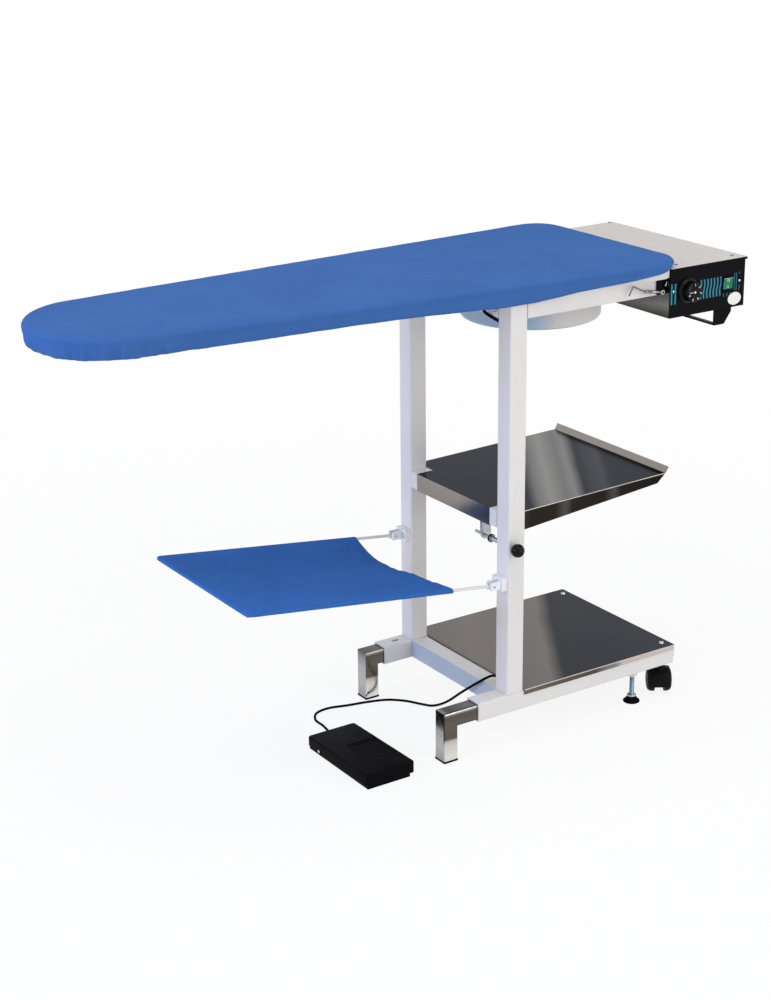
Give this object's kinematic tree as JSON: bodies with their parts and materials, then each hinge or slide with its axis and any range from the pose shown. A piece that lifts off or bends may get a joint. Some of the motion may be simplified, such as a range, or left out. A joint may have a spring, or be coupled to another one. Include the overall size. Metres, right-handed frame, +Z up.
{
  "type": "ironing table",
  "caption": "Wheeled ironing table with a padded suction board, control box, fold-down iron shelf, lower shelf, cloth clothes rack, sliding legs and a foot pedal.",
  "frame": {"origin": "centre of the underside on the floor, under the middle of the table's length and width, the pedal cord left out", "axes": "+X along the board from the nose to the control box, +Y from the control side to the back, +Z up"},
  "size_m": [1.3828, 0.4376, 0.9137],
  "materials": {
    "white_paint": "white powder coat",
    "tray_paint": "light grey powder coat",
    "chrome": "bright chrome plate",
    "brushed_steel": "brushed stainless sheet",
    "zinc_steel": "bright zinc plate",
    "black_plastic": "satin black",
    "black_rubber": "matt black",
    "black_panel": "satin black",
    "milky_plastic": "milky clear",
    "lid_steel": "fine textured light grey",
    "cover_blue": "blue ironing cloth",
    "rack_blue": "blue woven cloth",
    "felt_grey": "grey felt",
    "switch_green": "clear green, lit"
  },
  "bodies": {
    "table": {"Front_post": "white_paint", "Back_post": "white_paint", "Front_arm": "white_paint", "Back_arm": "white_paint", "Front_rail": "white_paint", "Back_rail": "white_paint", "Lower_cross_tube": "white_paint", "Upper_cross_tube": "white_paint", "Front_shelf_bracket": "white_paint", "Back_shelf_bracket": "white_paint", "Fan_drum": "white_paint", "Board_tray": "tray_paint", "Suction_plate": "tray_paint", "Lower_shelf": "brushed_steel", "Box_shell": "brushed_steel", "Front_shelf_screw": "zinc_steel", "Back_shelf_screw": "zinc_steel", "Plunger_sleeve": "zinc_steel", "Heating_element": "zinc_steel", "Pivot_bolt": "zinc_steel", "Pedal_pin": "zinc_steel", "Fan_motor": "black_plastic", "Switch_housing": "black_plastic", "Pedal_base": "black_plastic", "Pedal_switch": "black_plastic", "Heater_lead": "black_rubber", "Post_grommet": "black_rubber", "Pedal_cord": "black_rubber", "Control_panel": "black_panel", "Carry_handle": "black_panel", "Latch_block": "black_panel", "Front_rack_clip": "milky_plastic", "Back_rack_clip": "milky_plastic", "Thermostat": "milky_plastic", "Box_lid": "lid_steel", "Board_cover": "cover_blue", "Felt_pad": "felt_grey"},
    "front_leg": {"Front_leg": "chrome", "Front_leg_cap": "black_rubber"},
    "back_leg": {"Back_leg": "chrome", "Back_leg_cap": "black_rubber"},
    "front_foot": {"Front_levelling_foot": "zinc_steel"},
    "back_foot": {"Back_levelling_foot": "zinc_steel"},
    "front_caster": {"Front_caster_body": "black_plastic"},
    "front_wheels": {"Front_caster_wheels": "black_plastic"},
    "back_caster": {"Back_caster_body": "black_plastic"},
    "back_wheels": {"Back_caster_wheels": "black_plastic"},
    "iron_shelf": {"Iron_shelf": "brushed_steel", "Shelf_lug": "zinc_steel"},
    "plunger": {"Plunger_rod": "zinc_steel", "Plunger_ball": "black_plastic"},
    "clothes_rack": {"Rack_rod": "white_paint", "Rack_cloth": "rack_blue"},
    "fan": {"Fan_impeller": "black_plastic"},
    "knob": {"Temperature_knob": "black_plastic"},
    "rocker": {"Power_rocker": "switch_green"},
    "treadle": {"Pedal_treadle": "black_plastic"},
    "latch": {"Latch_arm": "zinc_steel"}
  },
  "joints": [
    {"name": "front_leg_slide", "type": "slide", "parent": "table", "child": "front_leg", "axis": [-1, 0, 0], "range_m": [-0.045, 0.01]},
    {"name": "back_leg_slide", "type": "slide", "parent": "table", "child": "back_leg", "axis": [-1, 0, 0], "range_m": [-0.0125, 0.0425]},
    {"name": "front_foot_screw", "type": "slide", "parent": "table", "child": "front_foot", "axis": [0, 0, 1], "range_m": [-0.015, 0.012]},
    {"name": "back_foot_screw", "type": "slide", "parent": "table", "child": "back_foot", "axis": [0, 0, 1], "range_m": [-0.015, 0.012]},
    {"name": "front_caster_swivel", "type": "hinge", "parent": "table", "child": "front_caster", "pos_m": [0.5466, -0.15586, 0.06], "axis": [0, 0, 1], "continuous": true},
    {"name": "front_wheel_roll", "type": "hinge", "parent": "front_caster", "child": "front_wheels", "pos_m": [0.55314, -0.1458, 0.025], "axis": [0.8387, -0.5446, 0], "continuous": true},
    {"name": "back_caster_swivel", "type": "hinge", "parent": "table", "child": "back_caster", "pos_m": [0.5466, 0.16764, 0.06], "axis": [0, 0, 1], "continuous": true},
    {"name": "back_wheel_roll", "type": "hinge", "parent": "back_caster", "child": "back_wheels", "pos_m": [0.55314, 0.1777, 0.025], "axis": [0.8387, -0.5446, 0], "continuous": true},
    {"name": "iron_shelf_fold", "type": "hinge", "parent": "table", "child": "iron_shelf", "pos_m": [0.1826, 0.00589, 0.432], "axis": [0, 1, 0], "range_deg": [0, 65]},
    {"name": "plunger_pull", "type": "slide", "parent": "table", "child": "plunger", "axis": [0, -1, 0], "range_m": [0, 0.03], "stiffness_N_per_m": 200, "springref_m": -0.01},
    {"name": "rack_fold", "type": "hinge", "parent": "table", "child": "clothes_rack", "pos_m": [0.1206, 0.00589, 0.33228], "axis": [0, 1, 0], "range_deg": [0, 78]},
    {"name": "fan_spin", "type": "hinge", "parent": "table", "child": "fan", "pos_m": [0.3276, 0.00589, 0.84], "axis": [0, 0, 1], "continuous": true},
    {"name": "knob_turn", "type": "hinge", "parent": "table", "child": "knob", "pos_m": [0.5462, -0.19446, 0.844], "axis": [0, 1, 0], "range_deg": [0, 270]},
    {"name": "rocker_tilt", "type": "hinge", "parent": "table", "child": "rocker", "pos_m": [0.6456, -0.19326, 0.844], "axis": [1, 0, 0], "range_deg": [-14, 0]},
    {"name": "treadle_press", "type": "hinge", "parent": "table", "child": "treadle", "pos_m": [-0.12165, -0.00986, 0.0085], "axis": [1, 0, 0], "range_deg": [0, 1.8], "stiffness_Nm_per_rad": 60, "springref_deg": -1.15},
    {"name": "latch_swing", "type": "hinge", "parent": "table", "child": "latch", "pos_m": [0.4921, -0.18446, 0.8465], "axis": [0, 1, 0], "range_deg": [-90, 0]}
  ]
}
